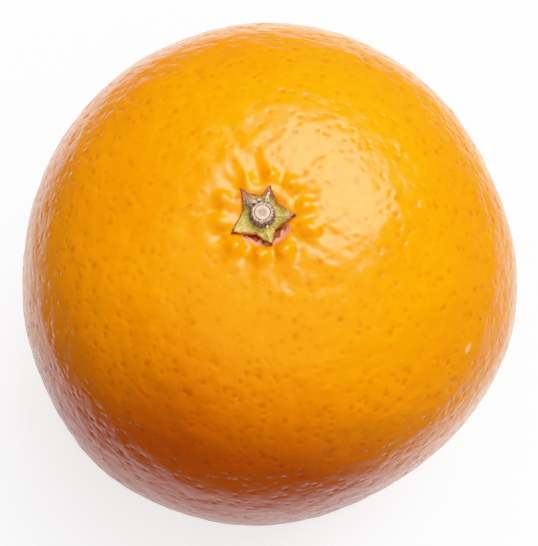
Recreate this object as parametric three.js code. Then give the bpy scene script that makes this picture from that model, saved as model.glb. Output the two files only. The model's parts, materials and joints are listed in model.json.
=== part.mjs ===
// A whole sweet orange as picked: the fruit, the star-shaped calyx left on its stem end, the short
// stub of the cut stem and two dried scales beside it.
// Millimetres, +Z up. The fruit stands on its blossom end, on a small flat spot at z = 0, and the
// origin is on that surface, under the middle of the fruit. Directions are degrees in plan,
// anticlockwise from +X as seen from above.
import * as THREE from "three";

// ---- Driving dimensions ----
const fruitRadius = 37.7; // mean radius at the girth
const fruitHeight = 70.5; // before the basin at the stem end is pressed in
const restingSpotRadius = 8;
const stemLean = 1.4; // how far the stem end stands to the -X side of the base
const pieceGap = 0.3; // between neighbouring pieces
const calyxReach = 4.75; // the usual sepal, from the stem's middle to its tip
const stemRadius = 1.6; // at its flared foot
const stemHeight = 1.1;

// ---- Fruit ----
// The body is a superellipse turned about the stem's axis: an exponent of 2 is an ellipse, and more
// makes fuller shoulders. The girth sits a little below half height.
const fullness = 2.12;
const girthHeight = 0.487 * fruitHeight;
const roundSteps = 72; // round the fruit
const bodyStep = 6; // degrees between rings from shoulder to base

// The girth isn't a true circle: each lobe swells it by a share of its radius, count times round.
const girthLobes = [
  { count: 2, direction: 65, share: 0.01 },
  { count: 3, direction: -13, share: 0.007 },
  { count: 4, direction: -20, share: 0.004 },
];

// At the stem end the rind dips into a wide shallow basin, with a small pit for the calyx.
const basinRadius = 7.5;
const basinDepth = 1.5;
const pitRadius = 0.83 * calyxReach;
const pitDepth = 0.9;
const lipWidth = 0.09 * pitRadius; // each side of the pit's edge
const pitShift = new THREE.Vector2(0.1, -0.6); // of the pit's middle from the stem's

// A crown of ten knobs stands round the pit, one over each segment of the flesh.
const knobDirections = [12, 48, 77, 114, 156, 191, 232, 268, 302, 343];
const knobRing = 1.24 * calyxReach; // radius of the crown
const knobHeight = 0.5;
const knobWidth = 1.35; // radial half width
const knobSpread = 13; // half width round the crown, in degrees

const radians = THREE.MathUtils.degToRad;
const smoothstep = THREE.MathUtils.smoothstep;
const bell = (distance, width) => Math.exp(-((distance / width) ** 2));

// The smaller angle between two directions, in degrees.
function angleBetween(a, b) {
  const turn = Math.abs(a - b) % 360;
  return Math.min(turn, 360 - turn);
}

// Height of the rind above the resting spot on the upper half, before the knobs.
function upperHeight(radius) {
  const share = Math.min(1, radius / fruitRadius);
  const rise = (1 - share ** fullness) ** (1 / fullness);
  const basin = basinDepth * bell(radius, basinRadius);
  const pit = pitDepth * (1 - smoothstep(radius, pitRadius - lipWidth, pitRadius + lipWidth));
  return girthHeight + (fruitHeight - girthHeight) * rise - basin - pit;
}

function knobRise(radius, direction) {
  const nearest = Math.min(...knobDirections.map((knob) => angleBetween(knob, direction)));
  return knobHeight * bell(radius - knobRing, knobWidth) * bell(nearest, knobSpread);
}

// The half outline from the middle of the resting spot, round the girth, to the middle of the pit.
function fruitProfile() {
  const profile = [new THREE.Vector2(0, 0)];
  // the true underside would end this far below the surface, which flattens it over the spot
  const spotShare = restingSpotRadius / fruitRadius;
  const spotDrop = girthHeight / (1 - spotShare ** fullness) ** (1 / fullness) - girthHeight;
  const undersideHeight = girthHeight + spotDrop;
  profile.push(new THREE.Vector2(restingSpotRadius, 0));
  for (let angle = 180 - 3 * bodyStep; angle > 90; angle -= bodyStep) {
    const radius = fruitRadius * Math.sin(radians(angle));
    const fall = (1 - (radius / fruitRadius) ** fullness) ** (1 / fullness);
    profile.push(new THREE.Vector2(radius, girthHeight - undersideHeight * fall));
  }
  for (let angle = 90; angle >= 3 * bodyStep; angle -= bodyStep) {
    const radius = fruitRadius * Math.sin(radians(angle));
    profile.push(new THREE.Vector2(radius, upperHeight(radius)));
  }
  const crownRings = [1.9, 1.75, 1.6, 1.46, 1.34, 1.24, 1.14]; // shares of the calyx's reach
  for (const share of crownRings) {
    profile.push(new THREE.Vector2(share * calyxReach, upperHeight(share * calyxReach)));
  }
  for (const side of [2, 1, 0, -1]) {
    const radius = pitRadius + side * lipWidth;
    profile.push(new THREE.Vector2(radius, upperHeight(radius)));
  }
  profile.push(new THREE.Vector2(pitRadius / 2, upperHeight(pitRadius / 2)));
  profile.push(new THREE.Vector2(0, upperHeight(0)));
  return profile;
}

function fruitGeometry() {
  const geometry = new THREE.LatheGeometry(fruitProfile(), roundSteps).rotateX(Math.PI / 2);
  const corners = geometry.attributes.position;
  for (let i = 0; i < corners.count; i++) {
    const [x, y, z] = [corners.getX(i), corners.getY(i), corners.getZ(i)];
    const radius = Math.hypot(x, y);
    const direction = THREE.MathUtils.radToDeg(Math.atan2(y, x));
    let swell = 1;
    for (const lobe of girthLobes) {
      swell += lobe.share * Math.cos(lobe.count * radians(direction - lobe.direction));
    }
    const onTop = z > girthHeight;
    // the lobes fade out in the basin, so that the calyx meets a round pit
    const bodyShare = onTop ? smoothstep(radius, knobRing, 3 * knobRing) : 1;
    const stretch = 1 + (swell - 1) * bodyShare;
    const lean = stemLean * (1 - z / fruitHeight);
    const rise = onTop ? knobRise(radius, direction) : 0;
    const shiftShare = onTop ? 1 - smoothstep(radius, pitRadius + lipWidth, knobRing) : 0;
    const shift = pitShift.clone().multiplyScalar(shiftShare);
    corners.setXYZ(i, x * stretch + lean + shift.x, y * stretch + shift.y, z + rise);
  }
  return geometry;
}

// ---- Calyx ----
// Five sepals joined into one star. Each has its direction and its reach as a share of the usual
// one, how far its tip curls up, and the direction and reach of the notch before the next sepal.
const sepals = [
  { direction: -4, reach: 1.02, curl: 0.1, notchDirection: 36, notchReach: 0.58 },
  { direction: 75, reach: 0.88, curl: 0.2, notchDirection: 96, notchReach: 0.56 },
  { direction: 133, reach: 1.0, curl: 0.9, notchDirection: 166, notchReach: 0.58 },
  { direction: 213, reach: 1.1, curl: 0.05, notchDirection: 252, notchReach: 0.6 },
  { direction: 286, reach: 1.0, curl: 0.05, notchDirection: 312, notchReach: 0.57 },
];
const calyxThickness = 0.8; // at the middle
const edgeThickness = 0.3;
const sideSteps = 4; // along each side of a sepal
const calyxFloor = upperHeight(0) + pieceGap;
const calyxTop = calyxFloor + calyxThickness;

const inPlan = (radius, direction) =>
  new THREE.Vector2(radius * Math.cos(radians(direction)), radius * Math.sin(radians(direction)));

// The star's edge, anticlockwise: each side of a sepal is a curve from notch to tip, slightly full.
function starEdge() {
  const tips = sepals.map((sepal) => inPlan(calyxReach * sepal.reach, sepal.direction));
  const notches = sepals.map((sepal) =>
    inPlan(calyxReach * sepal.notchReach, sepal.notchDirection),
  );
  const sideFullness = 1.06;
  const bow = (a, b) => a.clone().lerp(b, 0.4).multiplyScalar(sideFullness);
  const edge = new THREE.Path().moveTo(tips[0].x, tips[0].y);
  sepals.forEach((_, k) => {
    const [tip, notch, next] = [tips[k], notches[k], tips[(k + 1) % sepals.length]];
    const [out, back] = [bow(notch, tip), bow(notch, next)];
    edge.quadraticCurveTo(out.x, out.y, notch.x, notch.y);
    edge.quadraticCurveTo(back.x, back.y, next.x, next.y);
  });
  return edge.getPoints(sideSteps).slice(0, -1);
}

// How far a sepal's tip curl lifts the star at this place.
function curlRise(radius, direction) {
  let rise = 0;
  for (const sepal of sepals) {
    const along = smoothstep(radius, 0.55 * calyxReach, sepal.reach * calyxReach);
    rise += sepal.curl * along * bell(angleBetween(sepal.direction, direction), 20);
  }
  return rise;
}

function calyxGeometry() {
  // half a section through the star: share of the way out, and height over the star's underside
  const section = [
    [0, 0], [0.5, 0], [0.86, 0.02], [1, 0.5 * edgeThickness], [0.97, edgeThickness],
    [0.8, 0.55 * calyxThickness], [0.5, 0.8 * calyxThickness], [0, calyxThickness],
  ].map(([share, height]) => new THREE.Vector2(share, height));
  const edge = starEdge();
  const geometry = new THREE.LatheGeometry(section, edge.length);
  const corners = geometry.attributes.position;
  for (let i = 0; i < corners.count; i++) {
    const rim = edge[Math.floor(i / section.length) % edge.length];
    const { x: share, y: height } = section[i % section.length];
    const [x, y] = [rim.x * share, rim.y * share];
    const radius = Math.hypot(x, y);
    const direction = THREE.MathUtils.radToDeg(Math.atan2(y, x));
    // the star lies on the floor of the pit and climbs its lip
    const fromPit = Math.hypot(x - pitShift.x, y - pitShift.y);
    const climb = (pitDepth + 0.5 * pieceGap) * smoothstep(fromPit, 0.45 * pitRadius, pitRadius);
    corners.setXYZ(i, x, y, calyxFloor + height + climb + curlRise(radius, direction));
  }
  return geometry;
}

// ---- Stem stub ----
// Cut close above the calyx: a flared foot, a ring of bark and, inside a fine groove, the paler wood.
const stemSteps = 32;
const woodRadius = 0.67 * stemRadius;

function stemGeometry() {
  const profile = [
    [0, 0], [stemRadius, 0], [stemRadius, 0.22 * stemHeight], [0.88 * stemRadius, 0.75 * stemHeight],
    [0.8 * stemRadius, 0.9 * stemHeight], [woodRadius + 0.06, 0.9 * stemHeight],
    [woodRadius, 0.78 * stemHeight], [woodRadius - 0.06, 0.94 * stemHeight], [0, stemHeight],
  ].map(([radius, height]) => new THREE.Vector2(radius, height));
  return new THREE.LatheGeometry(profile, stemSteps).rotateX(Math.PI / 2);
}

// ---- Dried scales ----
// Two shrivelled bracts beside the stem: small leaf shapes, lying on the calyx and tipped up.
const scales = [
  { name: "dried_scale_right", direction: 72, distance: 2.4, length: 1.3, width: 0.9, tilt: 22 },
  { name: "dried_scale_left", direction: 140, distance: 2.55, length: 1.5, width: 1.0, tilt: 26 },
];
const scaleThickness = 0.25;
const scaleLift = 0.65; // of its middle over the star's, for the climb of the star

function scaleGeometry({ length, width }) {
  const half = length / 2;
  const leaf = new THREE.Shape().moveTo(-half, 0);
  leaf.quadraticCurveTo(-0.2 * half, -width / 2, half, 0);
  leaf.quadraticCurveTo(-0.2 * half, width / 2, -half, 0);
  return new THREE.ExtrudeGeometry(leaf, {
    depth: scaleThickness, curveSegments: 8, bevelEnabled: false,
  });
}

// ---- Assembly ----
function piece(name, geometry, color, roughness) {
  const mesh = new THREE.Mesh(
    geometry,
    new THREE.MeshStandardMaterial({ color, roughness, metalness: 0 }),
  );
  mesh.name = name;
  return mesh;
}

const pieces = new THREE.Group();
pieces.add(piece("fruit", fruitGeometry(), 0xf59a05, 0.4));
pieces.add(piece("calyx", calyxGeometry(), 0xb9b054, 0.75));

const stem = piece("stem_stub", stemGeometry(), 0xc9b2a6, 0.8);
stem.position.z = calyxTop + pieceGap;
pieces.add(stem);

for (const scale of scales) {
  const mesh = piece(scale.name, scaleGeometry(scale), 0xb98f80, 0.85);
  const foot = inPlan(scale.distance, scale.direction);
  mesh.position.set(foot.x, foot.y, calyxTop + pieceGap + scaleLift);
  mesh.rotation.set(0, -radians(scale.tilt), radians(scale.direction), "ZYX");
  pieces.add(mesh);
}

// The lathe's axis is the stem's. The origin is under the middle of the fruit's box.
const box = new THREE.Box3().setFromObject(pieces);
pieces.position.set(-(box.min.x + box.max.x) / 2, -(box.min.y + box.max.y) / 2, 0);

const orange = new THREE.Group();
orange.add(pieces);
export default orange;
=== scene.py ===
import json
import math

import bpy
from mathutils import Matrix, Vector, noise

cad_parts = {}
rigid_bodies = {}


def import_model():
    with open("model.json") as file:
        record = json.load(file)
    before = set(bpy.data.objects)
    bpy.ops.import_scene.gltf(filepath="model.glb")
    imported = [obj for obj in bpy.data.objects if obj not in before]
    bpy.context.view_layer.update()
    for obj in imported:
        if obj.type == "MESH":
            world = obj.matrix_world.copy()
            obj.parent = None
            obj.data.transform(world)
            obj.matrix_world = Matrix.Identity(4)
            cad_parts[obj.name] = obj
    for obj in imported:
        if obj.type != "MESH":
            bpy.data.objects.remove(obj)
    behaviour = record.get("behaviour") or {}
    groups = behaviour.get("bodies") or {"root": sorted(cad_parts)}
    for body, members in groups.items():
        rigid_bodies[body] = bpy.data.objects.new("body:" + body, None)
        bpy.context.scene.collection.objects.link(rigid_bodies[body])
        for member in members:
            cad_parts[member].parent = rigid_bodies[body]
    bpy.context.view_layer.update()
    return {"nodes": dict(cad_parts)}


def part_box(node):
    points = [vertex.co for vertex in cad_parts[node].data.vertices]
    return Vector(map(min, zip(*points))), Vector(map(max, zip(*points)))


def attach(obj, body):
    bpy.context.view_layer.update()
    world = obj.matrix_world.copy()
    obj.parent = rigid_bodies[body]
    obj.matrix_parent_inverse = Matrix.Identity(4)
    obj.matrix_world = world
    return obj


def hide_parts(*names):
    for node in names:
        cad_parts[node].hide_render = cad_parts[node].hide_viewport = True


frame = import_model()
MM = 0.001

# ---- Peel ----
# The fruit's rind: a waxy, leathery skin over white pith, pitted where its oil glands lie. It grew
# as one closed body, drawn in at the stem end, where its edge folds up in a crown of knobs round
# the calyx.
fruit_low, fruit_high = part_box("fruit")
fruit_middle = (fruit_low + fruit_high) / 2
fruit_radius = (fruit_high.x - fruit_low.x) / 2
stem_low, stem_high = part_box("stem_stub")
stem_foot = Vector(((stem_low.x + stem_high.x) / 2, (stem_low.y + stem_high.y) / 2, stem_low.z))

PEEL_CUTS = 127  # across each side of the cube that becomes the rind
STEM_END_SHARE = 0.42  # the mesh is drawn together by this at the stem end, for its fine detail
STEM_END_REACH = 52 * MM
RESTING_CLEARANCE = 4 * MM  # below this height the relief fades out, so that the base stays flat


def apply_modifier(piece, kind, **settings):
    """Adds a modifier with its settings and applies it, as by hand."""
    bpy.context.view_layer.objects.active = piece
    modifier = piece.modifiers.new(kind.title(), kind)
    for name, value in settings.items():
        setattr(modifier, name, value)
    bpy.ops.object.modifier_apply(modifier=modifier.name)


def copy_of_node(node, name):
    """A merged copy of a CAD node, with a mesh of its own, ready to be shaped."""
    bpy.ops.object.select_all(action="DESELECT")
    piece = frame["nodes"][node].copy()
    piece.data = piece.data.copy()
    piece.name = name
    piece.parent = None
    for key in list(piece.keys()):
        del piece[key]
    bpy.context.scene.collection.objects.link(piece)
    bpy.context.view_layer.objects.active = piece
    piece.select_set(True)
    bpy.ops.object.mode_set(mode="EDIT")
    bpy.ops.mesh.select_all(action="SELECT")
    bpy.ops.mesh.customdata_custom_splitnormals_clear()
    bpy.ops.mesh.remove_doubles(threshold=0.001 * MM)
    bpy.ops.mesh.tris_convert_to_quads()
    bpy.ops.object.mode_set(mode="OBJECT")
    return piece


def add(tree, kind, settings=None, values=None, give=0):
    """Adds one node with its settings, sets or links its inputs, and gives back one output."""
    made = tree.nodes.new(kind)
    for name, value in (settings or {}).items():
        setattr(made, name, value)
    sockets = [socket for socket in made.inputs if socket.enabled]
    for key, value in (values or {}).items():
        socket = sockets[key] if isinstance(key, int) else next(s for s in sockets if s.name == key)
        if isinstance(value, bpy.types.NodeSocket):
            tree.links.new(value, socket)
        else:
            socket.default_value = value
    outputs = [socket for socket in made.outputs if socket.enabled]
    if isinstance(give, int):
        return outputs[give] if outputs else made
    return next(socket for socket in outputs if socket.name == give)


def paint(code):
    """Linear red, green, blue and full cover from an sRGB hex colour."""
    shares = [int(code[k : k + 2], 16) / 255 for k in (1, 3, 5)]
    return tuple(s / 12.92 if s <= 0.04045 else ((s + 0.055) / 1.055) ** 2.4 for s in shares) + (1,)


bpy.ops.object.select_all(action="DESELECT")
bpy.ops.mesh.primitive_cube_add(size=2 * fruit_radius, location=fruit_middle)
peel = bpy.context.object
peel.name = "peel"
bpy.ops.object.mode_set(mode="EDIT")
bpy.ops.mesh.subdivide(number_cuts=PEEL_CUTS)
bpy.ops.object.mode_set(mode="OBJECT")
round_off = {"cast_type": "SPHERE", "factor": 1, "use_radius_as_size": False, "size": fruit_radius}
apply_modifier(peel, "CAST", **round_off)

# draw the mesh together at the stem end
bpy.ops.object.mode_set(mode="EDIT")
bpy.ops.mesh.select_all(action="DESELECT")
bpy.ops.object.mode_set(mode="OBJECT")
stem_point = max(peel.data.vertices, key=lambda corner: corner.co.z)
stem_point.select = True
bpy.ops.object.mode_set(mode="EDIT")
bpy.ops.transform.resize(
    value=(STEM_END_SHARE, STEM_END_SHARE, 1),
    center_override=fruit_middle + stem_point.co,
    use_proportional_edit=True,
    proportional_edit_falloff="SMOOTH",
    proportional_size=STEM_END_REACH,
)
bpy.ops.object.mode_set(mode="OBJECT")
apply_modifier(peel, "CAST", **round_off)
bpy.ops.object.transform_apply(location=True, rotation=False, scale=False)

# fit it to the fruit's own form
rind_form = copy_of_node("fruit", "rind_form")
apply_modifier(rind_form, "SUBSURF", levels=2, render_levels=2)
apply_modifier(
    peel,
    "SHRINKWRAP",
    target=rind_form,
    wrap_method="PROJECT",
    use_positive_direction=True,
    use_negative_direction=True,
)
bpy.data.objects.remove(rind_form)

# raise the crown of knobs round the stem, flatten the girth a little here and there, and dint the
# blossom end: each is one vertex moved with its neighbourhood
# direction in plan, distance from the stem's axis, rise and spread, in degrees and mm; a rise below
# 0 is a hollow between two knobs
KNOBS = (
    (114, 5.2, 0.55, 2.1),
    (159, 5.8, 0.62, 2.0),
    (191, 5.7, 0.57, 2.1),
    (231, 5.8, 0.67, 2.2),
    (269, 5.9, 0.67, 2.2),
    (303, 6.0, 0.67, 2.1),
    (343, 6.9, 0.62, 2.2),
    (12, 6.1, 0.50, 2.1),
    (48, 6.1, 0.55, 2.1),
    (76, 5.75, 0.55, 2.1),
    (135, 6.3, -0.30, 1.9),
    (175, 6.6, -0.22, 1.7),
    (211, 6.4, -0.25, 1.8),
    (251, 6.6, -0.25, 1.8),
    (286, 6.5, -0.30, 1.8),
    (324, 6.6, -0.30, 1.9),
    (357, 6.9, -0.22, 1.7),
    (30, 6.6, -0.30, 1.9),
    (62, 6.3, -0.25, 1.7),
    (95, 6.0, -0.35, 1.9),
)
# direction in plan, height as a share of the fruit's, distance pushed outwards and spread, in mm
FLATS = (
    (26, 0.50, -0.60, 17),
    (172, 0.48, -0.50, 19),
    (300, 0.45, -0.60, 21),
    (228, 0.45, 0.40, 17),
    (345, 0.52, 0.35, 15),
    (95, 0.52, 0.30, 15),
    (130, 0.50, -0.30, 14),
)
BLOSSOM_DINT = 0.7
BLOSSOM_SPREAD = 3.6
RAY_START = 10 * MM  # how far above the stem's foot, or below the fruit, a ray starts
GIRTH_RAY_START = 100 * MM  # how far to the side of the fruit's middle


def push(piece, start, heading, distance, spread):
    """Finds where a ray meets the piece and moves that place back along it, with its neighbourhood.

    The distance and the spread are in mm; a distance below 0 presses inwards.
    """
    _, spot, _, face = piece.ray_cast(start, heading)
    corners = piece.data.polygons[face].vertices
    nearest = min(corners, key=lambda k: (piece.data.vertices[k].co - spot).length)
    bpy.ops.object.mode_set(mode="EDIT")
    bpy.ops.mesh.select_all(action="DESELECT")
    bpy.ops.object.mode_set(mode="OBJECT")
    piece.data.vertices[nearest].select = True
    bpy.ops.object.mode_set(mode="EDIT")
    bpy.ops.transform.translate(
        value=-distance * MM * heading,
        use_proportional_edit=True,
        proportional_edit_falloff="SMOOTH",
        proportional_size=spread * MM,
    )
    bpy.ops.object.mode_set(mode="OBJECT")


bpy.context.view_layer.objects.active = peel
for direction, distance, rise, spread in KNOBS:
    turn = math.radians(direction)
    above = stem_foot + distance * MM * Vector((math.cos(turn), math.sin(turn), 0))
    push(peel, above + Vector((0, 0, RAY_START)), Vector((0, 0, -1)), rise, spread)
for direction, share, distance, spread in FLATS:
    turn = math.radians(direction)
    outwards = Vector((math.cos(turn), math.sin(turn), 0))
    start = Vector((fruit_middle.x, fruit_middle.y, share * fruit_high.z)) + GIRTH_RAY_START * outwards
    push(peel, start, -outwards, distance, spread)
under = Vector((fruit_middle.x, fruit_middle.y, -RAY_START))
push(peel, under, Vector((0, 0, 1)), -BLOSSOM_DINT, BLOSSOM_SPREAD)

# press in the glands and raise the lumps and folds of the rind
# sizes in mm, with reach as the distance from the stem's axis
GLAND_SIZE = 1.54  # from one gland to the next through the rind
GLAND_DEPTH = 0.05
GLAND_WIDTH = 0.70  # from its middle to where the skin levels out
BROAD_SIZE = 12.0  # from one broad swell to the next
BROAD_HEIGHT = 0.6
LUMP_SIZE = 2.6
LUMP_HEIGHT = 0.34
FOLD_TURNS = 4.2  # how finely the folds divide the circle round the stem
FOLD_WANDER = 0.26  # how fast a fold changes with reach
FOLD_HEIGHT = 1.15
FOLD_START = 4.4
FOLD_END = 22.0
PIT_EDGE = (FOLD_START - 1.2, FOLD_START + 0.4)  # the relief comes in between these two

relief = bpy.data.node_groups.new("rind relief", "GeometryNodeTree")
relief.interface.new_socket("Geometry", in_out="INPUT", socket_type="NodeSocketGeometry")
relief.interface.new_socket("Geometry", in_out="OUTPUT", socket_type="NodeSocketGeometry")
skin = add(relief, "NodeGroupInput")
place = add(relief, "GeometryNodeInputPosition")
from_stem = add(relief, "ShaderNodeVectorMath", {"operation": "SUBTRACT"}, {0: place, 1: stem_foot})
in_mm = add(relief, "ShaderNodeVectorMath", {"operation": "SCALE"}, {0: from_stem, "Scale": 1 / MM})
gland = add(relief, "ShaderNodeTexVoronoi", {}, {"Vector": in_mm, "Scale": 1 / GLAND_SIZE})
pit = add(
    relief,
    "ShaderNodeMapRange",
    {"interpolation_type": "SMOOTHSTEP"},
    {
        "Value": gland,
        "From Min": 0,
        "From Max": GLAND_WIDTH / GLAND_SIZE,
        "To Min": -GLAND_DEPTH,
        "To Max": 0,
    },
)
broad = add(relief, "ShaderNodeTexNoise", {}, {"Vector": in_mm, "Scale": 1 / BROAD_SIZE, "Detail": 1.5})
broad = add(relief, "ShaderNodeMath", {"operation": "SUBTRACT"}, {0: broad, 1: 0.5})
broad = add(relief, "ShaderNodeMath", {"operation": "MULTIPLY"}, {0: broad, 1: BROAD_HEIGHT})
lumps = add(relief, "ShaderNodeTexNoise", {}, {"Vector": in_mm, "Scale": 1 / LUMP_SIZE, "Detail": 1})
lumps = add(relief, "ShaderNodeMath", {"operation": "SUBTRACT"}, {0: lumps, 1: 0.5})
lumps = add(relief, "ShaderNodeMath", {"operation": "MULTIPLY"}, {0: lumps, 1: LUMP_HEIGHT})

# folds run outwards: the pattern follows the direction from the stem and changes slowly with reach
flat = add(relief, "ShaderNodeVectorMath", {"operation": "MULTIPLY"}, {0: in_mm, 1: (1, 1, 0)})
reach = add(relief, "ShaderNodeVectorMath", {"operation": "LENGTH"}, {0: flat}, "Value")
outwards = add(relief, "ShaderNodeVectorMath", {"operation": "NORMALIZE"}, {0: flat})
outwards = add(relief, "ShaderNodeVectorMath", {"operation": "SCALE"}, {0: outwards, "Scale": FOLD_TURNS})
along = add(relief, "ShaderNodeMath", {"operation": "MULTIPLY"}, {0: reach, 1: FOLD_WANDER})
along = add(relief, "ShaderNodeCombineXYZ", {}, {"Z": along})
fold_place = add(relief, "ShaderNodeVectorMath", {"operation": "ADD"}, {0: outwards, 1: along})
folds = add(relief, "ShaderNodeTexNoise", {}, {"Vector": fold_place, "Scale": 1, "Detail": 2})
folds = add(relief, "ShaderNodeMath", {"operation": "SUBTRACT"}, {0: folds, 1: 0.5})
fold_rise = add(
    relief,
    "ShaderNodeMapRange",
    {"interpolation_type": "SMOOTHSTEP"},
    {"Value": reach, "From Min": FOLD_START, "From Max": FOLD_START + 2, "To Min": 0, "To Max": FOLD_HEIGHT},
)
fold_fall = add(
    relief,
    "ShaderNodeMapRange",
    {"interpolation_type": "SMOOTHSTEP"},
    {"Value": reach, "From Min": FOLD_START, "From Max": FOLD_END, "To Min": 1, "To Max": 0},
)
folds = add(relief, "ShaderNodeMath", {"operation": "MULTIPLY"}, {0: folds, 1: fold_rise})
folds = add(relief, "ShaderNodeMath", {"operation": "MULTIPLY"}, {0: folds, 1: fold_fall})

# none of it inside the pit under the calyx, nor at the base
height = add(relief, "ShaderNodeMath", {"operation": "ADD"}, {0: broad, 1: lumps})
height = add(relief, "ShaderNodeMath", {"operation": "ADD"}, {0: height, 1: pit})
height = add(relief, "ShaderNodeMath", {"operation": "ADD"}, {0: height, 1: folds})
outside_pit = add(
    relief,
    "ShaderNodeMapRange",
    {"interpolation_type": "SMOOTHSTEP"},
    {"Value": reach, "From Min": PIT_EDGE[0], "From Max": PIT_EDGE[1]},
)
level = add(relief, "ShaderNodeSeparateXYZ", {}, {0: place}, "Z")
above_base = add(
    relief,
    "ShaderNodeMapRange",
    {"interpolation_type": "SMOOTHSTEP"},
    {"Value": level, "From Min": 0.05 * MM, "From Max": RESTING_CLEARANCE},
)
upper_half = add(relief, "ShaderNodeMath", {"operation": "GREATER_THAN"}, {0: level, 1: fruit_middle.z})
lower_half = add(relief, "ShaderNodeMath", {"operation": "SUBTRACT"}, {0: 1, 1: upper_half})
outside_pit = add(relief, "ShaderNodeMath", {"operation": "MAXIMUM"}, {0: outside_pit, 1: lower_half})
height = add(relief, "ShaderNodeMath", {"operation": "MULTIPLY"}, {0: height, 1: outside_pit})
height = add(relief, "ShaderNodeMath", {"operation": "MULTIPLY"}, {0: height, 1: above_base})
height = add(relief, "ShaderNodeMath", {"operation": "MULTIPLY"}, {0: height, 1: MM})

# the rind wells up round the calyx, except in front, where the pit stays open beside the sepals
OPEN_TURN = math.radians(282)
OPEN_SIDE = Vector((math.cos(OPEN_TURN), math.sin(OPEN_TURN), 0))
PIT_FILL = 0.8  # mm
shut = add(relief, "ShaderNodeVectorMath", {"operation": "NORMALIZE"}, {0: flat})
shut = add(relief, "ShaderNodeVectorMath", {"operation": "DOT_PRODUCT"}, {0: shut, 1: OPEN_SIDE}, "Value")
shut = add(
    relief,
    "ShaderNodeMapRange",
    {"interpolation_type": "SMOOTHSTEP"},
    {"Value": shut, "From Min": 0.5, "From Max": 0.72, "To Min": PIT_FILL * MM, "To Max": 0},
)
inner = add(relief, "ShaderNodeMapRange", {}, {"Value": reach, "From Min": 2.0, "From Max": 2.9})
outer = add(
    relief,
    "ShaderNodeMapRange",
    {"interpolation_type": "SMOOTHSTEP"},
    {"Value": reach, "From Min": 3.7, "From Max": 4.7, "To Min": 1, "To Max": 0},
)
fill = add(relief, "ShaderNodeMath", {"operation": "MULTIPLY"}, {0: inner, 1: outer})
fill = add(relief, "ShaderNodeMath", {"operation": "MULTIPLY"}, {0: fill, 1: shut})
fill = add(relief, "ShaderNodeMath", {"operation": "MULTIPLY"}, {0: fill, 1: upper_half})
height = add(relief, "ShaderNodeMath", {"operation": "ADD"}, {0: height, 1: fill})
normal = add(relief, "GeometryNodeInputNormal")
shift = add(relief, "ShaderNodeVectorMath", {"operation": "SCALE"}, {0: normal, "Scale": height})
shaped = add(relief, "GeometryNodeSetPosition", {}, {"Geometry": skin, "Offset": shift})
add(relief, "NodeGroupOutput", {}, {0: shaped})
apply_modifier(peel, "NODES", node_group=relief)
bpy.ops.object.select_all(action="DESELECT")
peel.select_set(True)
bpy.ops.object.shade_smooth()

# Orange rind, waxed by the fruit itself: a clear, half-glossy skin over coloured pulp of oil cells,
# so light sinks in a little and the glands show as deeper orange dots. Its low front is painted a
# deeper orange as painted shade. In the pit under the calyx it has painted red-brown shade, with a
# painted highlight along the pale lip in front.
PEEL_ORANGE = "#f38d00"
# the deeper orange of the random patches, and of the painted shade low on the front
PEEL_DEEP_AND_SHADE = "#b84804"
PEEL_YELLOW = "#f99c02"
GLAND_TINT = "#d2b496"  # laid over the colour round it
# painted red-brown shade in the pit under the calyx, and a painted highlight on the pit's lip
PIT_SHADE_RED = "#8a2f0c"
LIP_HIGHLIGHT = "#dc9a7c"
# pattern sizes in mm
BIG_GLAND_SIZE = 2.6  # from one of the larger glands to the next
PATCH_SIZE = 14  # of deeper and paler patches
CELL_SIZE = 1.6  # of the yellower skin between glands
RAG_SIZE = 1.2  # of the notches in the pit's and the blemishes' edges
PEBBLE_SIZE = 1.9
PEBBLE_HEIGHT = 0.14
PORE_SIZE = 0.5
PORE_HEIGHT = 0.012
GLAND_DIP = 0.075
BIG_GLAND_DIP = 0.06
rind = bpy.data.materials.new("orange_rind_natural_wax")
rind.use_nodes = True
nodes = rind.node_tree
nodes.nodes.clear()
place = add(nodes, "ShaderNodeTexCoord", {}, {}, "Object")
from_stem = add(nodes, "ShaderNodeVectorMath", {"operation": "SUBTRACT"}, {0: place, 1: stem_foot})
in_mm = add(nodes, "ShaderNodeVectorMath", {"operation": "SCALE"}, {0: from_stem, "Scale": 1 / MM})

# painted shade: a deeper orange low on the front, away from the lights; the yellower cells show on the lit
# side
painted_shade_direction = Vector((-0.30, -0.93, -0.20))
painted_front_shade = add(nodes, "ShaderNodeVectorMath", {"operation": "SUBTRACT"}, {0: place, 1: fruit_middle})
painted_front_shade = add(nodes, "ShaderNodeVectorMath", {"operation": "DOT_PRODUCT"}, {0: painted_front_shade, 1: painted_shade_direction}, "Value")
painted_front_shade = add(
    nodes,
    "ShaderNodeMapRange",
    {"interpolation_type": "SMOOTHSTEP"},
    {"Value": painted_front_shade, "From Min": 0.22 * fruit_radius, "From Max": 0.84 * fruit_radius},
)
patches = add(nodes, "ShaderNodeTexNoise", {}, {"Vector": in_mm, "Scale": 1 / PATCH_SIZE, "Detail": 3})
patches = add(
    nodes,
    "ShaderNodeMapRange",
    {},
    {"Value": patches, "From Min": 0.3, "From Max": 0.7, "To Min": -0.06, "To Max": 0.12},
)
deep_patches_and_shade = add(nodes, "ShaderNodeMath", {"operation": "ADD", "use_clamp": True}, {0: patches, 1: painted_front_shade})
colour = add(
    nodes,
    "ShaderNodeMix",
    {"data_type": "RGBA"},
    {"Factor": deep_patches_and_shade, "A": paint(PEEL_ORANGE), "B": paint(PEEL_DEEP_AND_SHADE)},
)
cells = add(nodes, "ShaderNodeTexNoise", {}, {"Vector": in_mm, "Scale": 1 / CELL_SIZE, "Detail": 2})
cells = add(
    nodes,
    "ShaderNodeMapRange",
    {},
    {"Value": cells, "From Min": 0.45, "From Max": 0.75, "To Max": 0.3},
)
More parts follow.
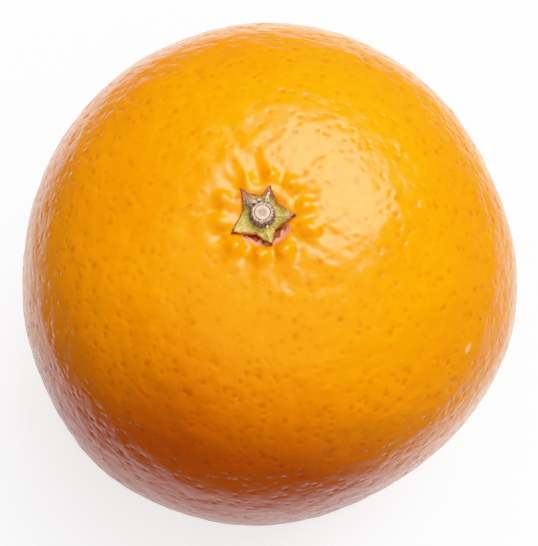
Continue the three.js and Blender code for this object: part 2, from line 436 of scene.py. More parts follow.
# the yellower cells fade where the painted shade lies, so the lit side is painted yellower
pale_and_lit_side = add(nodes, "ShaderNodeMath", {"operation": "SUBTRACT", "use_clamp": True}, {0: 1, 1: deep_patches_and_shade})
cells = add(nodes, "ShaderNodeMath", {"operation": "MULTIPLY"}, {0: cells, 1: pale_and_lit_side})
colour = add(
    nodes,
    "ShaderNodeMix",
    {"data_type": "RGBA"},
    {"Factor": cells, "A": colour, "B": paint(PEEL_YELLOW)},
)
gland = add(nodes, "ShaderNodeTexVoronoi", {}, {"Vector": in_mm, "Scale": 1 / GLAND_SIZE})
big_gland = add(nodes, "ShaderNodeTexVoronoi", {}, {"Vector": in_mm, "Scale": 1 / BIG_GLAND_SIZE})
# the glands as darker dots: width as a share of the pattern's size, and cover
for distance, edge, cover in ((gland, 0.36, 0.30), (big_gland, 0.27, 0.52)):
    dot = add(
        nodes,
        "ShaderNodeMapRange",
        {"interpolation_type": "SMOOTHSTEP"},
        {"Value": distance, "From Min": 0.04, "From Max": edge, "To Min": cover, "To Max": 0},
    )
    colour = add(
        nodes,
        "ShaderNodeMix",
        {"data_type": "RGBA", "blend_type": "MULTIPLY"},
        {"Factor": dot, "A": colour, "B": paint(GLAND_TINT)},
    )

# painted shade in the pit and a painted highlight on its lip, with a ragged edge
flat = add(nodes, "ShaderNodeVectorMath", {"operation": "MULTIPLY"}, {0: in_mm, 1: (1, 1, 0)})
reach = add(nodes, "ShaderNodeVectorMath", {"operation": "LENGTH"}, {0: flat}, "Value")
level = add(nodes, "ShaderNodeSeparateXYZ", {}, {0: in_mm}, "Z")
rag = add(nodes, "ShaderNodeTexNoise", {}, {"Vector": in_mm, "Scale": 1 / RAG_SIZE, "Detail": 3})
rag = add(nodes, "ShaderNodeMapRange", {}, {"Value": rag, "To Min": -1.2, "To Max": 1.2})
ragged = add(nodes, "ShaderNodeMath", {"operation": "ADD"}, {0: reach, 1: rag})
pit_shade = add(
    nodes,
    "ShaderNodeMapRange",
    {"interpolation_type": "SMOOTHSTEP"},
    {"Value": ragged, "From Min": 3.45, "From Max": 3.8, "To Min": 1, "To Max": 0},
)
lip_highlight = add(
    nodes,
    "ShaderNodeMapRange",
    {"interpolation_type": "SMOOTHSTEP"},
    {"Value": ragged, "From Min": 4.2, "From Max": 4.8, "To Min": 0.85, "To Max": 0},
)
on_top = add(nodes, "ShaderNodeMath", {"operation": "GREATER_THAN"}, {0: level, 1: -10})
opened = add(nodes, "ShaderNodeVectorMath", {"operation": "NORMALIZE"}, {0: flat})
opened = add(nodes, "ShaderNodeVectorMath", {"operation": "DOT_PRODUCT"}, {0: opened, 1: OPEN_SIDE}, "Value")
opened = add(
    nodes,
    "ShaderNodeMapRange",
    {"interpolation_type": "SMOOTHSTEP"},
    {"Value": opened, "From Min": 0.45, "From Max": 0.7, "To Min": 0.06},
)
opened = add(nodes, "ShaderNodeMath", {"operation": "MULTIPLY"}, {0: opened, 1: on_top})
pit_shade = add(nodes, "ShaderNodeMath", {"operation": "MULTIPLY"}, {0: pit_shade, 1: opened})
lip_highlight = add(nodes, "ShaderNodeMath", {"operation": "MULTIPLY"}, {0: lip_highlight, 1: opened})
colour = add(
    nodes,
    "ShaderNodeMix",
    {"data_type": "RGBA"},
    {"Factor": lip_highlight, "A": colour, "B": paint(LIP_HIGHLIGHT)},
)
colour = add(
    nodes,
    "ShaderNodeMix",
    {"data_type": "RGBA"},
    {"Factor": pit_shade, "A": colour, "B": paint(PIT_SHADE_RED)},
)

# blemishes: a pale scar, brown specks and nicks, and the blossom scar underneath
# direction from the fruit's middle, width in mm, cover and colour
BLEMISHES = (
    (Vector((0.770, -0.419, 0.481)), 1.1, 0.55, "#f2c58c"),
    (Vector((0.645, -0.603, 0.469)), 0.9, 0.60, "#9a5413"),
    (Vector((0.823, -0.303, 0.481)), 0.7, 0.60, "#a55a16"),
    (Vector((0.105, 0.340, 0.934)), 0.6, 0.65, "#a8641c"),
    (Vector((-0.496, -0.848, 0.186)), 0.9, 0.50, "#7d3a10"),
    (Vector((0.153, -0.840, 0.520)), 0.5, 0.70, "#f8d9a8"),
    (Vector((-0.121, -0.670, 0.732)), 0.4, 0.60, "#f8cf92"),
    (Vector((0, 0, -1)), 3.4, 0.85, "#6f4526"),
)
for heading, width, cover, tint in BLEMISHES:
    spot = peel.ray_cast(fruit_middle, heading)[1]
    away = add(nodes, "ShaderNodeVectorMath", {"operation": "DISTANCE"}, {0: place, 1: spot}, "Value")
    away = add(nodes, "ShaderNodeMath", {"operation": "MULTIPLY"}, {0: away, 1: 1 / MM})
    away = add(nodes, "ShaderNodeMath", {"operation": "ADD"}, {0: away, 1: rag})
    mark = add(
        nodes,
        "ShaderNodeMapRange",
        {"interpolation_type": "SMOOTHSTEP"},
        {"Value": away, "From Min": 0.2 * width, "From Max": 0.7 * width, "To Min": cover, "To Max": 0},
    )
    colour = add(
        nodes,
        "ShaderNodeMix",
        {"data_type": "RGBA"},
        {"Factor": mark, "A": colour, "B": paint(tint)},
    )

# fine relief that the mesh is too coarse for: the rims of the glands, a pebbled grain and pores
dimple = add(
    nodes,
    "ShaderNodeMapRange",
    {"interpolation_type": "SMOOTHSTEP"},
    {
        "Value": gland,
        "From Min": 0,
        "From Max": GLAND_WIDTH / GLAND_SIZE,
        "To Min": -GLAND_DIP,
        "To Max": 0,
    },
)
grain = add(nodes, "ShaderNodeTexNoise", {}, {"Vector": in_mm, "Scale": 1 / PEBBLE_SIZE, "Detail": 2})
grain = add(nodes, "ShaderNodeMath", {"operation": "MULTIPLY"}, {0: grain, 1: PEBBLE_HEIGHT})
coarse = add(
    nodes,
    "ShaderNodeMapRange",
    {"interpolation_type": "SMOOTHSTEP"},
    {"Value": reach, "From Min": 16, "From Max": 34, "To Min": 0.65, "To Max": 1.15},
)
grain = add(nodes, "ShaderNodeMath", {"operation": "ADD"}, {0: grain, 1: dimple})
big_dimple = add(
    nodes,
    "ShaderNodeMapRange",
    {"interpolation_type": "SMOOTHSTEP"},
    {"Value": big_gland, "From Min": 0, "From Max": 0.36, "To Min": -BIG_GLAND_DIP, "To Max": 0},
)
grain = add(nodes, "ShaderNodeMath", {"operation": "ADD"}, {0: grain, 1: big_dimple})
grain = add(nodes, "ShaderNodeMath", {"operation": "MULTIPLY"}, {0: grain, 1: coarse})
pores = add(nodes, "ShaderNodeTexNoise", {}, {"Vector": in_mm, "Scale": 1 / PORE_SIZE, "Detail": 2})
pores = add(nodes, "ShaderNodeMath", {"operation": "MULTIPLY"}, {0: pores, 1: PORE_HEIGHT})
grain = add(nodes, "ShaderNodeMath", {"operation": "ADD"}, {0: grain, 1: pores})
bump = add(nodes, "ShaderNodeBump", {}, {"Height": grain, "Strength": 1, "Distance": MM})
shader = add(
    nodes,
    "ShaderNodeBsdfPrincipled",
    {"subsurface_method": "RANDOM_WALK"},
    {
        "Base Color": colour,
        "Roughness": 0.22,
        "IOR": 1.47,
        "Subsurface Weight": 0.1,
        "Subsurface Radius": (1.0, 0.35, 0.1),
        "Subsurface Scale": 1.2 * MM,
        "Normal": bump,
    },
)
add(nodes, "ShaderNodeOutputMaterial", {}, {"Surface": shader})
peel.data.materials.clear()
peel.data.materials.append(rind)
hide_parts("fruit")
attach(peel, "root")

# ---- Calyx ----
# The star of five sepals that held the flower: leathery green tissue, dry and brown at its edges
# and tips, grown on to the stem and lying in the pit of the rind.
# each sepal's direction in plan, its reach, the lift of its tip and how dry it is (0 to 1), then
# the direction and reach of the notch after it; degrees and mm
SEPALS = (
    (-4, 4.85, 0.15, 0.45, 36, 2.76),
    (75, 4.18, 0.25, 0.80, 96, 2.66),
    (133, 4.75, 0.45, 1.00, 166, 2.76),
    (213, 5.22, 0.00, 0.20, 252, 2.85),
    (286, 4.75, -0.05, 0.15, 312, 2.71),
)


def ease(value, low, high):
    """Rises smoothly from 0 at low to 1 at high."""
    share = min(1, max(0, (value - low) / (high - low)))
    return share * share * (3 - 2 * share)


def bell(value, width):
    """1 at 0, falling smoothly on both sides to about a third at the width."""
    return math.exp(-((value / width) ** 2))


def point_values(piece, name, values):
    """Keeps one value for each vertex with the mesh, for its material."""
    kept = piece.data.attributes.new(name, "FLOAT", "POINT")
    kept.data.foreach_set("value", values)


star_corners = []
for direction, tip_reach, _, _, notch_direction, notch_reach in SEPALS:
    for turn, corner_reach in ((direction, tip_reach), (notch_direction, notch_reach)):
        turn = math.radians(turn)
        star_corners.append(Vector((math.cos(turn), math.sin(turn))) * corner_reach)


def star_rim(heading):
    """How far the star's edge is from the stem's axis that way, in mm."""
    for first, second in zip(star_corners, star_corners[1:] + star_corners[:1]):
        if first.cross(heading) >= 0 and heading.cross(second) > 0:
            return first.cross(second) / heading.cross(second - first)
    return star_corners[0].length


calyx = copy_of_node("calyx", "calyx_star")
apply_modifier(calyx, "SUBSURF", subdivision_type="SIMPLE", levels=3, render_levels=3)
rim_shares, tip_shares, dryness, veins = [], [], [], []
for corner in calyx.data.vertices:
    spot = (corner.co - stem_foot) / MM
    plan = Vector((spot.x, spot.y))
    distance = plan.length
    heading = plan / distance if distance > 0.001 else Vector((1, 0))
    turn = math.degrees(math.atan2(heading.y, heading.x))
    sepal = min(SEPALS, key=lambda row: abs((turn - row[0] + 180) % 360 - 180))
    aside = math.radians((turn - sepal[0] + 180) % 360 - 180)
    along, across = distance * math.cos(aside), distance * math.sin(aside)
    tip = along / sepal[1]
    rim = distance / star_rim(heading)
    dry = sepal[3] * ease(tip, 0.35, 0.85)
    on_top = corner.normal.z > 0.2

    # the whole thickness moves: waves, a lifted tip, crinkles and rolled-in sides where it is dry
    wave = 0.35 * noise.noise(spot * 0.75) * ease(rim, 0.3, 1)
    lifted = sepal[2] * ease(tip, 0.55, 1.0)
    crinkle = 0.30 * dry * noise.noise(spot * 1.9 + Vector((5, 1, 2)))
    rolled = 0.40 * dry * abs(across)
    lift = wave + lifted + crinkle + rolled
    # the top alone: a midrib, side veins, a thick rim, a crease at each notch, a collar and grain
    vein = bell(across, 0.13) * ease(tip, 0.3, 0.5) * (1 - ease(tip, 0.85, 1))
    side_vein = 0.5 + 0.5 * math.sin(math.tau * (along - 0.9 * abs(across)) / 0.62)
    side_vein = side_vein**4 * ease(tip, 0.35, 0.5) * (1 - ease(rim, 0.85, 1)) * 0.6
    vein = max(vein, side_vein)
    if on_top:
        notch_gap = min(abs((turn - row[4] + 180) % 360 - 180) for row in SEPALS)
        lift += 0.12 * vein
        lift += 0.10 * ease(rim, 0.84, 0.95) * (1 - ease(rim, 0.97, 1))
        lift -= 0.20 * bell(notch_gap, 7) * ease(rim, 0.4, 0.9)
        lift += 0.22 * bell(distance - 1.75, 0.35)
        lift += 0.09 * noise.noise(spot * 3.1) + 0.05 * noise.noise(spot * 7.3)
    pinch = 1 - 0.40 * sepal[3] ** 2 * ease(tip, 0.45, 0.9)
    ragged = 0.10 * noise.noise(spot * 2.4 + Vector((0, 9, 0))) * ease(rim, 0.8, 1)
    middle = Vector((math.cos(math.radians(sepal[0])), math.sin(math.radians(sepal[0]))))
    sideways = Vector((-middle.y, middle.x))
    moved = middle * along + sideways * across * pinch + heading * ragged
    corner.co = stem_foot + Vector((moved.x, moved.y, spot.z + lift)) * MM
    rim_shares.append(rim)
    tip_shares.append(tip)
    dryness.append(dry)
    veins.append(vein)
for name, values in (
    ("rim_share", rim_shares),
    ("tip_share", tip_shares),
    ("dryness", dryness),
    ("vein", veins),
):
    point_values(calyx, name, values)
bpy.ops.object.select_all(action="DESELECT")
calyx.select_set(True)
bpy.ops.object.shade_smooth()

# Sepal, half dried: leathery leaf with a mottled yellow-green face, paler veins, and red-brown where
# it has withered.
SEPAL_GREEN = "#978a30"
SEPAL_STRAW = "#c3a656"
SEPAL_VEIN = "#d8c782"
SEPAL_SPECK = "#6f6a1e"
WITHERED = "#b57a5c"
RED_MARGIN = "#a4452a"
DARK_TIP = "#5b2420"
# painted shade round the foot of the stem
FOOT_SHADE = "#33240f"
leaf = bpy.data.materials.new("sepal_leathery_half_dried")
leaf.use_nodes = True
nodes = leaf.node_tree
nodes.nodes.clear()
place = add(nodes, "ShaderNodeTexCoord", {}, {}, "Object")
in_mm = add(nodes, "ShaderNodeVectorMath", {"operation": "SCALE"}, {0: place, "Scale": 1 / MM})
mottle = add(nodes, "ShaderNodeTexNoise", {}, {"Vector": in_mm, "Scale": 1 / 0.6, "Detail": 4})
mottle = add(nodes, "ShaderNodeMapRange", {}, {"Value": mottle, "From Min": 0.35, "From Max": 0.65})
colour = add(
    nodes,
    "ShaderNodeMix",
    {"data_type": "RGBA"},
    {"Factor": mottle, "A": paint(SEPAL_GREEN), "B": paint(SEPAL_STRAW)},
)
vein = add(nodes, "ShaderNodeAttribute", {"attribute_name": "vein"}, {}, "Fac")
vein = add(nodes, "ShaderNodeMath", {"operation": "MULTIPLY"}, {0: vein, 1: 0.55})
colour = add(
    nodes,
    "ShaderNodeMix",
    {"data_type": "RGBA"},
    {"Factor": vein, "A": colour, "B": paint(SEPAL_VEIN)},
)
speck = add(nodes, "ShaderNodeTexVoronoi", {}, {"Vector": in_mm, "Scale": 1 / 0.34})
speck = add(
    nodes,
    "ShaderNodeMapRange",
    {},
    {"Value": speck, "From Min": 0.12, "From Max": 0.3, "To Min": 0.6, "To Max": 0},
)
colour = add(
    nodes,
    "ShaderNodeMix",
    {"data_type": "RGBA"},
    {"Factor": speck, "A": colour, "B": paint(SEPAL_SPECK)},
)
ragged = add(nodes, "ShaderNodeMapRange", {}, {"Value": mottle, "To Min": -0.05, "To Max": 0.05})
for attribute, low, high, cover, tint in (
    ("dryness", 0.25, 0.6, 0.9, WITHERED),
    ("rim_share", 0.90, 0.98, 0.85, RED_MARGIN),
    ("tip_share", 0.84, 0.94, 0.9, DARK_TIP),
):
    share = add(nodes, "ShaderNodeAttribute", {"attribute_name": attribute}, {}, "Fac")
    share = add(nodes, "ShaderNodeMath", {"operation": "ADD"}, {0: share, 1: ragged})
    share = add(
        nodes,
        "ShaderNodeMapRange",
        {"interpolation_type": "SMOOTHSTEP"},
        {"Value": share, "From Min": low, "From Max": high, "To Max": cover},
    )
    colour = add(
        nodes,
        "ShaderNodeMix",
        {"data_type": "RGBA"},
        {"Factor": share, "A": colour, "B": paint(tint)},
    )
# painted shade: a dark ring round the foot of the stem
from_stem = add(nodes, "ShaderNodeVectorMath", {"operation": "DISTANCE"}, {0: place, 1: stem_foot}, "Value")
foot_shade = add(
    nodes,
    "ShaderNodeMapRange",
    {"interpolation_type": "SMOOTHSTEP"},
    {"Value": from_stem, "From Min": 1.72 * MM, "From Max": 2.05 * MM, "To Min": 0.8, "To Max": 0},
)
colour = add(
    nodes,
    "ShaderNodeMix",
    {"data_type": "RGBA"},
    {"Factor": foot_shade, "A": colour, "B": paint(FOOT_SHADE)},
)
grain = add(nodes, "ShaderNodeTexNoise", {}, {"Vector": in_mm, "Scale": 1 / 0.3, "Detail": 4})
bump = add(nodes, "ShaderNodeBump", {}, {"Height": grain, "Strength": 1, "Distance": 0.12 * MM})
shader = add(
    nodes,
    "ShaderNodeBsdfPrincipled",
    {},
    {"Base Color": colour, "Roughness": 0.55, "IOR": 1.45, "Normal": bump},
)
add(nodes, "ShaderNodeOutputMaterial", {}, {"Surface": shader})
calyx.data.materials.clear()
calyx.data.materials.append(leaf)
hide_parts("calyx")
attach(calyx, "root")

# ---- Stem stub ----
# What is left of the stem, cut off flat: a wooden core with a ring of open vessels round it, inside
# a ribbed collar of bark. It stands on the middle of the calyx.
STUB_SIDES = 168
STUB_WALL_CUTS = 14
TAPER = 0.95  # of the cut end, against the foot
BARK_RIBS = 15
VESSELS = 26
VESSEL_RING = 1.1  # mm, from the stem's axis
stub_radius = (stem_high.x - stem_low.x) / 2
stub_height = stem_high.z - stem_low.z
STUB_SINK = 0.35 * MM  # how far its foot goes into the calyx
# the cut face from its edge inwards: width of each ring and how far it steps up, in mm
CUT_RINGS = (
    (0.07, 0.05),
    (0.13, 0.03),
    (0.13, -0.02),
    (0.06, -0.16),
    (0.05, 0.00),
    (0.05, 0.17),
    (0.12, 0.03),
    (0.20, -0.02),
    (0.20, 0.00),
    (0.20, 0.00),
)
bpy.ops.object.select_all(action="DESELECT")
bpy.ops.mesh.primitive_cylinder_add(
    vertices=STUB_SIDES,
    radius=stub_radius,
    depth=stub_height + STUB_SINK,
    location=(stem_foot.x, stem_foot.y, stem_high.z - (stub_height + STUB_SINK) / 2),
)
stub = bpy.context.object
stub.name = "stub_of_the_stem"
bpy.ops.object.mode_set(mode="EDIT")
bpy.ops.mesh.select_mode(type="EDGE")
bpy.ops.mesh.select_all(action="DESELECT")
bpy.ops.object.mode_set(mode="OBJECT")
for edge in stub.data.edges:
    ends = [stub.data.vertices[k].co.z for k in edge.vertices]
    edge.select = abs(ends[0] - ends[1]) > 0.1 * stub_height
bpy.ops.object.mode_set(mode="EDIT")
bpy.ops.mesh.subdivide(number_cuts=STUB_WALL_CUTS)
bpy.ops.mesh.select_mode(type="FACE")
bpy.ops.mesh.select_all(action="DESELECT")
bpy.ops.object.mode_set(mode="OBJECT")
for face in stub.data.polygons:
    face.select = face.normal.z > 0.9
bpy.ops.object.mode_set(mode="EDIT")
bpy.ops.transform.resize(value=(TAPER, TAPER, 1))
for width, step in CUT_RINGS:
    bpy.ops.mesh.inset(thickness=width * MM, depth=step * MM)
bpy.ops.mesh.select_mode(type="VERT")
bpy.ops.object.mode_set(mode="OBJECT")
bpy.ops.object.transform_apply(location=True, rotation=False, scale=False)
wood_shares, dark_vessels_and_groove_shades = [], []
for corner in stub.data.vertices:
    spot = (corner.co - stem_foot) / MM
    plan = Vector((spot.x, spot.y))
    distance = plan.length
    turn = math.atan2(spot.y, spot.x)
    up = ease(spot.z, -0.1, stub_height / MM)
    # ribs down the wall, uneven all round, with a flared foot
    rib_wander = 1.6 * noise.noise(Vector((2.2 * math.cos(turn), 2.2 * math.sin(turn), 0.4 * spot.z)))
    rib = 0.5 + 0.5 * math.cos(BARK_RIBS * turn + 2.5 * rib_wander)
    wall = ease(distance, 0.72 * stub_radius / MM, 0.90 * stub_radius / MM)
    rough = noise.noise(spot * 2.6) * 0.16 + noise.noise(spot * 6.5) * 0.07
    shelf = 0.10 * math.sin(math.tau * (spot.z + 0.12 * rib) / 0.42)
    outward = wall * (0.17 * rib - 0.10 + rough + shelf * (1 - up)) + 0.16 * (1 - up) ** 2 * wall
    sunk = 0.10 * noise.noise(spot * 1.6 + Vector((3, 3, 3))) + 0.05 * noise.noise(spot * 5.0)
    # a ring of open vessels, unevenly spaced
    vessel_ring = bell(distance - VESSEL_RING, 0.12)
    vessel_wander = 3 * noise.noise(Vector((3 * math.cos(turn), 3 * math.sin(turn), 7)))
    vessels = 0.5 + 0.5 * math.cos(VESSELS * turn + vessel_wander)
    sunk -= 0.10 * vessel_ring * vessels
    if distance > 0.01:
        plan *= 1 + outward / distance
    lift = sunk * ease(spot.z, 0.6 * stub_height / MM, stub_height / MM)
    corner.co = stem_foot + Vector((plan.x, plan.y, spot.z + lift)) * MM
    wood_shares.append(distance)
    # dark open vessels on the cut face, and painted shade in the grooves between the ribs low on the wall
    dark_vessels_and_groove_shades.append(max(vessel_ring * (0.35 + 0.65 * vessels) * up, 0.8 * wall * (1 - rib) * (1 - up)))
point_values(stub, "from_pith", wood_shares)
point_values(stub, "dark_vessels_and_groove_shade", dark_vessels_and_groove_shades)
bpy.ops.object.select_all(action="DESELECT")
stub.select_set(True)
bpy.ops.object.shade_smooth()

# Cut twig, dry: end grain of pale wood, greyer towards the pith, open vessels dark with dirt, and
# grey-brown bark, with painted shade in its grooves low down by the foot.
PITH_GREY = "#a98f88"
WOOD_PALE = "#d8bd9e"
BARK = "#96796c"
BARK_PALE = "#bfa493"
# dark stains and vessels, and the painted shade in the bark's grooves by the foot
DIRT_AND_SHADE = "#2a1810"
twig = bpy.data.materials.new("twig_end_grain_and_bark")
twig.use_nodes = True
nodes = twig.node_tree
nodes.nodes.clear()
place = add(nodes, "ShaderNodeTexCoord", {}, {}, "Object")
in_mm = add(nodes, "ShaderNodeVectorMath", {"operation": "SCALE"}, {0: place, "Scale": 1 / MM})
mottle = add(nodes, "ShaderNodeTexNoise", {}, {"Vector": in_mm, "Scale": 1 / 0.35, "Detail": 4})
wander = add(nodes, "ShaderNodeMapRange", {}, {"Value": mottle, "To Min": -0.18, "To Max": 0.18})
ring = add(nodes, "ShaderNodeAttribute", {"attribute_name": "from_pith"}, {}, "Fac")
ring = add(nodes, "ShaderNodeMath", {"operation": "ADD"}, {0: ring, 1: wander})
colour = paint(PITH_GREY)
for low, high, tint in ((0.45, 0.85, WOOD_PALE), (1.1, 1.2, BARK_PALE), (1.3, 1.5, BARK)):
    share = add(nodes, "ShaderNodeMapRange", {}, {"Value": ring, "From Min": low, "From Max": high})
    colour = add(
        nodes,
        "ShaderNodeMix",
        {"data_type": "RGBA"},
        {"Factor": share, "A": colour, "B": paint(tint)},
    )
stain = add(
    nodes,
    "ShaderNodeMapRange",
    {},
    {"Value": mottle, "From Min": 0.55, "From Max": 0.75, "To Max": 0.45},
)
# dark open vessels, and painted shade in the bark's grooves near the foot
dark_vessels_and_groove_shade = add(nodes, "ShaderNodeAttribute", {"attribute_name": "dark_vessels_and_groove_shade"}, {}, "Fac")
dark_vessels_and_groove_shade = add(
    nodes,
    "ShaderNodeMapRange",
    {"interpolation_type": "SMOOTHSTEP"},
    {"Value": dark_vessels_and_groove_shade, "From Min": 0.35, "From Max": 0.85, "To Max": 0.95},
)
dark = add(nodes, "ShaderNodeMath", {"operation": "MAXIMUM"}, {0: stain, 1: dark_vessels_and_groove_shade})
colour = add(
    nodes,
    "ShaderNodeMix",
    {"data_type": "RGBA"},
    {"Factor": dark, "A": colour, "B": paint(DIRT_AND_SHADE)},
)
bump = add(nodes, "ShaderNodeBump", {}, {"Height": mottle, "Strength": 1, "Distance": 0.12 * MM})
shader = add(
    nodes,
    "ShaderNodeBsdfPrincipled",
    {},
    {"Base Color": colour, "Roughness": 0.75, "IOR": 1.5, "Normal": bump},
)
add(nodes, "ShaderNodeOutputMaterial", {}, {"Surface": shader})
stub.data.materials.append(twig)
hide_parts("stem_stub")
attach(stub, "root")

# ---- Dried scales ----
# Two withered flakes of the flower's base left beside the stem, papery and curled, with crumbs of
# bark and pith caught round them. They lie loose on the calyx.
# one row for each node: crumbs as direction in plan, distance from the stem's axis, height over the
# stem's foot and size, in degrees and mm
SCALES = (
    ("dried_scale_right", "papery_scale_right", ((290, 1.95, 0.28, 0.17), (62, 2.0, 0.45, 0.16))),
    (
        "dried_scale_left",
        "papery_scale_left",
        (
            (118, 1.95, 0.42, 0.25),
            (128, 2.15, 0.50, 0.30),
            (104, 2.15, 0.45, 0.22),
            (141, 1.95, 0.40, 0.23),
            (150, 2.35, 0.40, 0.20),
            (134, 2.60, 0.60, 0.22),
            (111, 2.45, 0.50, 0.18),
        ),
    ),
)
# Withered bud scale: paper-thin dead tissue, quite matt, pale with brown blotches and nearly black
# flecks, and browner on the left of the stem.
SCALE_PALE = "#d8c2ab"
SCALE_BROWN = "#8b6a5c"
SCALE_DARK = "#3b2218"
papery = bpy.data.materials.new("bud_scale_papery_withered")
papery.use_nodes = True
nodes = papery.node_tree
nodes.nodes.clear()
place = add(nodes, "ShaderNodeTexCoord", {}, {}, "Object")
from_stem = add(nodes, "ShaderNodeVectorMath", {"operation": "SUBTRACT"}, {0: place, 1: stem_foot})
in_mm = add(nodes, "ShaderNodeVectorMath", {"operation": "SCALE"}, {0: from_stem, "Scale": 1 / MM})
leftness = add(nodes, "ShaderNodeSeparateXYZ", {}, {0: in_mm}, "X")
leftness = add(nodes, "ShaderNodeMapRange", {}, {"Value": leftness, "From Min": -0.6, "From Max": -1.6})
mottle = add(nodes, "ShaderNodeTexNoise", {}, {"Vector": in_mm, "Scale": 1 / 0.4, "Detail": 4})
brown = add(nodes, "ShaderNodeMapRange", {}, {"Value": mottle, "From Min": 0.5, "From Max": 0.8})
brown = add(nodes, "ShaderNodeMath", {"operation": "ADD", "use_clamp": True}, {0: brown, 1: leftness})
brown = add(nodes, "ShaderNodeMath", {"operation": "MULTIPLY"}, {0: brown, 1: 0.7})
colour = add(
    nodes,
    "ShaderNodeMix",
    {"data_type": "RGBA"},
    {"Factor": brown, "A": paint(SCALE_PALE), "B": paint(SCALE_BROWN)},
)
dark = add(
    nodes,
    "ShaderNodeMapRange",
    {},
    {"Value": mottle, "From Min": 0.36, "From Max": 0.28, "To Max": 0.8},
)
colour = add(
    nodes,
    "ShaderNodeMix",
    {"data_type": "RGBA"},
    {"Factor": dark, "A": colour, "B": paint(SCALE_DARK)},
)
bump = add(nodes, "ShaderNodeBump", {}, {"Height": mottle, "Strength": 1, "Distance": 0.1 * MM})
shader = add(
    nodes,
    "ShaderNodeBsdfPrincipled",
    {},
    {"Base Color": colour, "Roughness": 0.7, "IOR": 1.5, "Normal": bump},
)
add(nodes, "ShaderNodeOutputMaterial", {}, {"Surface": shader})

for node, name, crumbs in SCALES:
    scale = copy_of_node(node, name)
    apply_modifier(scale, "SUBSURF", subdivision_type="SIMPLE", levels=3, render_levels=3)
    for direction, distance, height, size in crumbs:
        turn = math.radians(direction)
        spot = Vector((distance * math.cos(turn), distance * math.sin(turn), height)) * MM
        crumb_place = stem_foot + spot
        bpy.ops.mesh.primitive_ico_sphere_add(subdivisions=4, radius=size * MM, location=crumb_place)
    bpy.ops.object.select_all(action="DESELECT")
    for piece in bpy.context.scene.objects:
        if piece.name.startswith("Icosphere"):
            piece.select_set(True)
    scale.select_set(True)
    bpy.context.view_layer.objects.active = scale
    bpy.ops.object.join()
    for corner in scale.data.vertices:
        spot = (corner.co - stem_foot) / MM
        curl = Vector((noise.noise(spot * 1.3), noise.noise(spot * 1.3 + Vector((7, 0, 0))), 0)) * 0.35
        crumple = noise.noise(spot * 3.2) * 0.16 + noise.noise(spot * 8.0) * 0.06
        corner.co += (curl + corner.normal * crumple + Vector((0, 0, 0.2 * noise.noise(spot * 1.7)))) * MM
    bpy.ops.object.shade_smooth()
    scale.data.materials.clear()
    scale.data.materials.append(papery)
    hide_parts(node)
    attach(scale, "root")

# ---- Floor, light and camera ----
# A plain white sheet, two large soft lights behind to the right, a wider one overhead that the skin
# doesn't mirror, and a camera high in front.
bpy.ops.object.select_all(action="DESELECT")
bpy.ops.mesh.primitive_plane_add(size=3)
floor = bpy.context.object
floor.name = "floor"
# White paper, quite matt and evenly lit from all round. It is mirrored in the skin as a bright patch
# that ends a little way out, and it lights the fruit less than it shows, as a small sheet does.
SHEET_WHITE = (0.88, 0.88, 0.88)
SHEET_GLOW = 0.5
BRIGHT_REACH = (55 * MM, 130 * MM)  # where the mirrored sheet begins and ends to darken
sheet = bpy.data.materials.new("white_paper_sheet")
sheet.use_nodes = True
nodes = sheet.node_tree
nodes.nodes.clear()
place = add(nodes, "ShaderNodeTexCoord", {}, {}, "Object")
bright_spot = Vector((-0.014, 0.014, 0))
spread = add(nodes, "ShaderNodeVectorMath", {"operation": "DISTANCE"}, {0: place, 1: bright_spot}, "Value")
near = add(
    nodes,
    "ShaderNodeMapRange",
    {"interpolation_type": "SMOOTHSTEP"},
    {
        "Value": spread,
        "From Min": BRIGHT_REACH[0],
        "From Max": BRIGHT_REACH[1],
        "To Min": 0.80,
        "To Max": 0.04,
    },
)
gloss_ray = add(nodes, "ShaderNodeLightPath", {}, {}, "Is Glossy Ray")
spread_ray = add(nodes, "ShaderNodeLightPath", {}, {}, "Is Diffuse Ray")
shown = add(nodes, "ShaderNodeMix", {"data_type": "FLOAT"}, {"Factor": gloss_ray, "A": 1.0, "B": near})
shown = add(nodes, "ShaderNodeMix", {"data_type": "FLOAT"}, {"Factor": spread_ray, "A": shown, "B": 0.36})
white = add(nodes, "ShaderNodeVectorMath", {"operation": "SCALE"}, {0: SHEET_WHITE, "Scale": shown})
glow = add(nodes, "ShaderNodeMath", {"operation": "MULTIPLY"}, {0: shown, 1: SHEET_GLOW})
paper = add(
    nodes,
    "ShaderNodeBsdfPrincipled",
    {},
    {
        "Base Color": white,
        "Roughness": 0.95,
        "Specular IOR Level": 0.1,
        "Emission Color": (1, 1, 1, 1),
        "Emission Strength": glow,
    },
)
add(nodes, "ShaderNodeOutputMaterial", {}, {"Surface": paper})
floor.data.materials.append(sheet)

# direction from the fruit, distance and width in metres, power in watts, mirrored in the skin or not
for name, direction, distance, width, power, mirrored in (
    ("key_light", Vector((0.400, 0.470, 0.787)), 0.8, 0.72, 5.4, True),
    ("soft_light", Vector((0.300, 0.470, 0.830)), 0.8, 1.05, 3.3, True),
    ("wide_light", Vector((0.08, -0.18, 0.98)), 0.8, 1.8, 11.0, False),
):
    bpy.ops.object.light_add(type="AREA", location=fruit_middle + distance * direction)
    light = bpy.context.object
    light.name = name
    light.data.shape = "DISK"
    light.data.size = width
    light.data.energy = power
    light.rotation_euler = direction.to_track_quat("Z", "Y").to_euler()
    light.visible_glossy = mirrored

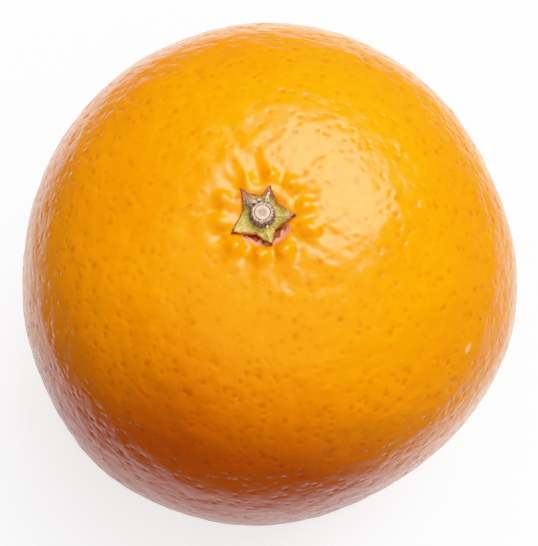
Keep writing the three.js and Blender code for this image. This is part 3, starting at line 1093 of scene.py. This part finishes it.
# a pale surrounding that adds only a little light
world = bpy.data.worlds.new("pale studio")
bpy.context.scene.world = world
world.use_nodes = True
nodes = world.node_tree
nodes.nodes.clear()
seen = add(nodes, "ShaderNodeLightPath", {}, {}, "Is Camera Ray")
strength = add(nodes, "ShaderNodeMix", {"data_type": "FLOAT"}, {"Factor": seen, "A": 0.05, "B": 1.0})
sky = add(nodes, "ShaderNodeBackground", {}, {"Color": (1, 1, 1, 1), "Strength": strength})
add(nodes, "ShaderNodeOutputWorld", {}, {"Surface": sky})

VIEW_ELEVATION = math.radians(76)
VIEW_DISTANCE = 420 * MM
VIEW_WIDTH = 82.7 * MM  # across the taller side of the view, at the fruit's middle
FILM = 36  # mm across the sensor
bpy.ops.object.camera_add()
camera = bpy.context.object
towards = Vector((0, -math.cos(VIEW_ELEVATION), math.sin(VIEW_ELEVATION)))
aim = fruit_middle + Vector((0, 0.05 * MM, 0))
camera.location = aim + VIEW_DISTANCE * towards
camera.rotation_euler = (math.pi / 2 - VIEW_ELEVATION, 0, 0)
camera.data.lens = FILM * VIEW_DISTANCE / VIEW_WIDTH
camera.data.sensor_width = FILM
camera.data.clip_start = 0.01
bpy.context.scene.camera = camera
view = bpy.context.scene.view_settings
view.view_transform = "Standard"
view.use_curve_mapping = True
# a soft shoulder, so that the brightest parts of the skin keep their colour
FILM_WHITE = 2.5  # the light that the curve's end stands for
RESPONSE = (
    (0.05, 0.05),
    (0.3, 0.3),
    (0.6, 0.58),
    (0.8, 0.74),
    (1.0, 0.86),
    (1.3, 0.945),
    (1.8, 0.985),
)
BLUE_RESPONSE = ((0.006, 0.002), (0.015, 0.010), (0.03, 0.029), (0.1, 0.1), (0.5, 0.5))
view.curve_mapping.white_level = (FILM_WHITE, FILM_WHITE, FILM_WHITE)
response = view.curve_mapping.curves[3]
for light, shown in RESPONSE:
    response.points.new(light / FILM_WHITE, shown)
# the film loses the last trace of blue in a strong orange
blue = view.curve_mapping.curves[2]
for light, shown in BLUE_RESPONSE:
    blue.points.new(light, shown)
view.curve_mapping.update()
